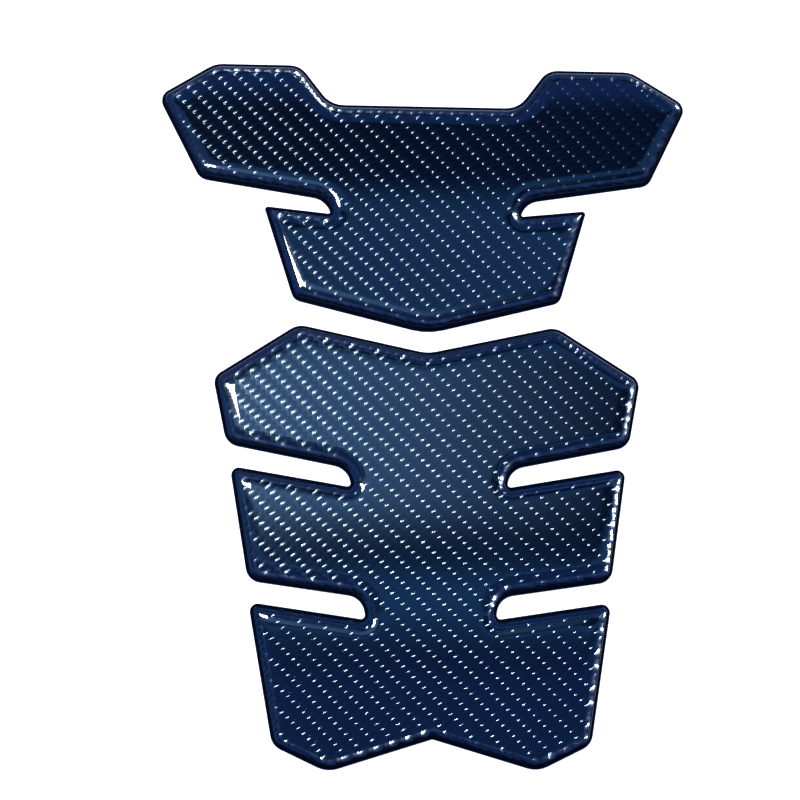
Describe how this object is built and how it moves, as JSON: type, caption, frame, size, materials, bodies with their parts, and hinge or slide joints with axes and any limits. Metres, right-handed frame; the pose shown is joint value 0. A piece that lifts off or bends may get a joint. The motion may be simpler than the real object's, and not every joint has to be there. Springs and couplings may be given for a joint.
{
  "type": "fishbone tank pad sticker",
  "caption": "Domed gel sticker with a carbon weave, in two flat pads that form a fishbone figure with horns, wings, notches and lobes, to stick on a motorbike tank.",
  "frame": {"origin": "under the middle of the whole figure's box, on the surface that the pads lie on", "axes": "+Z away from the surface, +Y along the figure from the legs to the horns, +X to the right seen from above"},
  "size_m": [0.1608, 0.215, 0.0023],
  "materials": {
    "film": "satin",
    "gel": "high gloss over a carbon weave"
  },
  "bodies": {
    "root": {"upper_film": "film", "upper_dome": "gel", "lower_film": "film", "lower_dome": "gel"}
  },
  "joints": []
}
